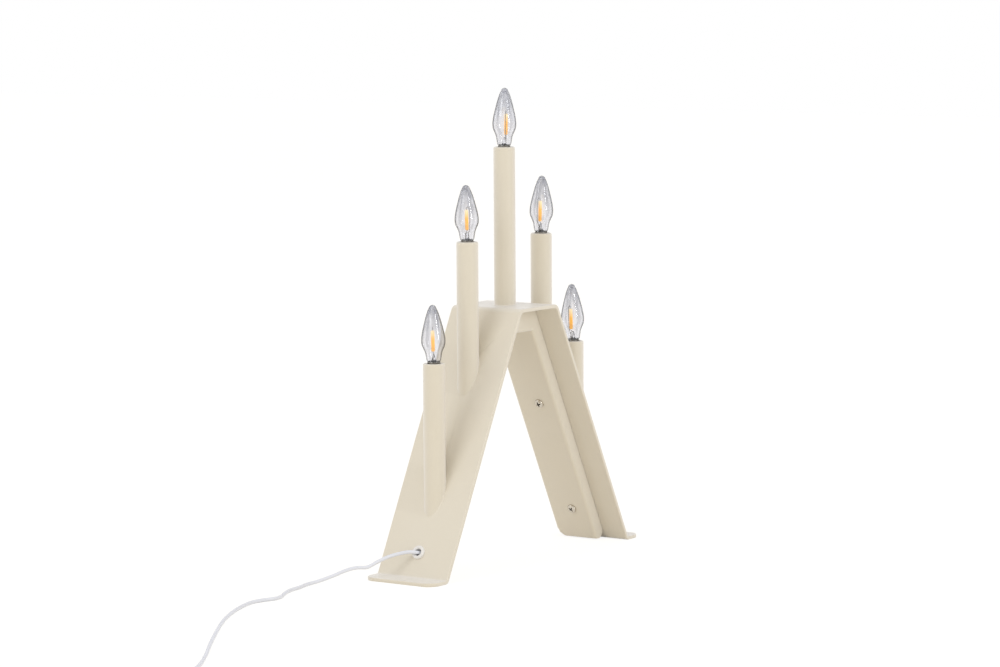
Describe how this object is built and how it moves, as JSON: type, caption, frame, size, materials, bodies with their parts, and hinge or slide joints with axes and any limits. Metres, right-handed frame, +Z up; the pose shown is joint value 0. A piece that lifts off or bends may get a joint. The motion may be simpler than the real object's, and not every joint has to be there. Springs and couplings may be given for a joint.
{
  "type": "advent candlestick",
  "caption": "Electric advent candlestick: a bent sheet-metal frame like an upturned V carries upright tubes with screw-in candle bulbs, a wiring cover and a mains cord.",
  "frame": {"origin": "on the table under the middle of the top plate, at the centre of the two feet", "axes": "+Z up, X across the spread of the two legs with the cord on the -X leg, -Y towards the front edge"},
  "size_m": [0.8297, 0.2065, 0.3948],
  "materials": {
    "powder_coat": "smooth matt cream powder coat",
    "zinc_steel": "bright zinc plating on the screws",
    "brass": "plain stamped brass",
    "nickel": "nickel plating on the bulb caps and plug pins",
    "solder": "dull solder",
    "bulb_glass": "clear thin glass",
    "filament": "amber coating of a filament rod on a clear glass stem",
    "black_plastic": "plain black insulating plastic",
    "white_plastic": "smooth white plastic",
    "cord_white": "soft white cable sheath and moulded plug"
  },
  "bodies": {
    "root": {"frame": "powder_coat", "inner_cover": "powder_coat", "cover_screw_1": "zinc_steel", "cover_screw_2": "zinc_steel", "cover_screw_3": "zinc_steel", "cover_screw_4": "zinc_steel", "candle_tube_1": "powder_coat", "candle_tube_2": "powder_coat", "candle_tube_3": "powder_coat", "candle_tube_4": "powder_coat", "candle_tube_5": "powder_coat", "lamp_socket_1": "black_plastic", "screw_shell_1": "brass", "centre_contact_1": "brass", "lamp_socket_2": "black_plastic", "screw_shell_2": "brass", "centre_contact_2": "brass", "lamp_socket_3": "black_plastic", "screw_shell_3": "brass", "centre_contact_3": "brass", "lamp_socket_4": "black_plastic", "screw_shell_4": "brass", "centre_contact_4": "brass", "lamp_socket_5": "black_plastic", "screw_shell_5": "brass", "centre_contact_5": "brass", "grommet": "white_plastic", "terminal_block": "white_plastic", "lead_1": "black_plastic", "lead_2": "black_plastic", "lead_3": "black_plastic", "lead_4": "black_plastic", "lead_5": "black_plastic", "lead_6": "black_plastic", "cord": "cord_white", "cord_coil": "cord_white", "cord_end": "cord_white", "plug_body": "cord_white", "plug_pin_1": "nickel", "plug_pin_2": "nickel"},
    "bulb_1_foot": {"bulb_tip_1": "solder"},
    "bulb_1": {"bulb_cap_1": "nickel", "bulb_glass_1": "bulb_glass", "bulb_filament_1": "filament"},
    "bulb_2_foot": {"bulb_tip_2": "solder"},
    "bulb_2": {"bulb_cap_2": "nickel", "bulb_glass_2": "bulb_glass", "bulb_filament_2": "filament"},
    "bulb_3_foot": {"bulb_tip_3": "solder"},
    "bulb_3": {"bulb_cap_3": "nickel", "bulb_glass_3": "bulb_glass", "bulb_filament_3": "filament"},
    "bulb_4_foot": {"bulb_tip_4": "solder"},
    "bulb_4": {"bulb_cap_4": "nickel", "bulb_glass_4": "bulb_glass", "bulb_filament_4": "filament"},
    "bulb_5_foot": {"bulb_tip_5": "solder"},
    "bulb_5": {"bulb_cap_5": "nickel", "bulb_glass_5": "bulb_glass", "bulb_filament_5": "filament"}
  },
  "joints": [
    {"name": "bulb_1_lift", "type": "slide", "parent": "root", "child": "bulb_1_foot", "axis": [0, 0, 1], "range_m": [0, 0.0091]},
    {"name": "bulb_1_turn", "type": "hinge", "parent": "bulb_1_foot", "child": "bulb_1", "pos_m": [-0.102, 0, 0.1745], "axis": [0, 0, 1], "range_deg": [0, 1800]},
    {"name": "bulb_2_lift", "type": "slide", "parent": "root", "child": "bulb_2_foot", "axis": [0, 0, 1], "range_m": [0, 0.0091]},
    {"name": "bulb_2_turn", "type": "hinge", "parent": "bulb_2_foot", "child": "bulb_2", "pos_m": [-0.054, 0, 0.2705], "axis": [0, 0, 1], "range_deg": [0, 1800]},
    {"name": "bulb_3_lift", "type": "slide", "parent": "root", "child": "bulb_3_foot", "axis": [0, 0, 1], "range_m": [0, 0.0091]},
    {"name": "bulb_3_turn", "type": "hinge", "parent": "bulb_3_foot", "child": "bulb_3", "pos_m": [0, 0, 0.346], "axis": [0, 0, 1], "range_deg": [0, 1800]},
    {"name": "bulb_4_lift", "type": "slide", "parent": "root", "child": "bulb_4_foot", "axis": [0, 0, 1], "range_m": [0, 0.0091]},
    {"name": "bulb_4_turn", "type": "hinge", "parent": "bulb_4_foot", "child": "bulb_4", "pos_m": [0.054, 0, 0.2705], "axis": [0, 0, 1], "range_deg": [0, 1800]},
    {"name": "bulb_5_lift", "type": "slide", "parent": "root", "child": "bulb_5_foot", "axis": [0, 0, 1], "range_m": [0, 0.0091]},
    {"name": "bulb_5_turn", "type": "hinge", "parent": "bulb_5_foot", "child": "bulb_5", "pos_m": [0.102, 0, 0.1745], "axis": [0, 0, 1], "range_deg": [0, 1800]}
  ],
  "couplings": [
    {"joint": "bulb_1_lift", "follows": "bulb_1_turn", "m_per_rad": 0.00028871},
    {"joint": "bulb_2_lift", "follows": "bulb_2_turn", "m_per_rad": 0.00028871},
    {"joint": "bulb_3_lift", "follows": "bulb_3_turn", "m_per_rad": 0.00028871},
    {"joint": "bulb_4_lift", "follows": "bulb_4_turn", "m_per_rad": 0.00028871},
    {"joint": "bulb_5_lift", "follows": "bulb_5_turn", "m_per_rad": 0.00028871}
  ]
}
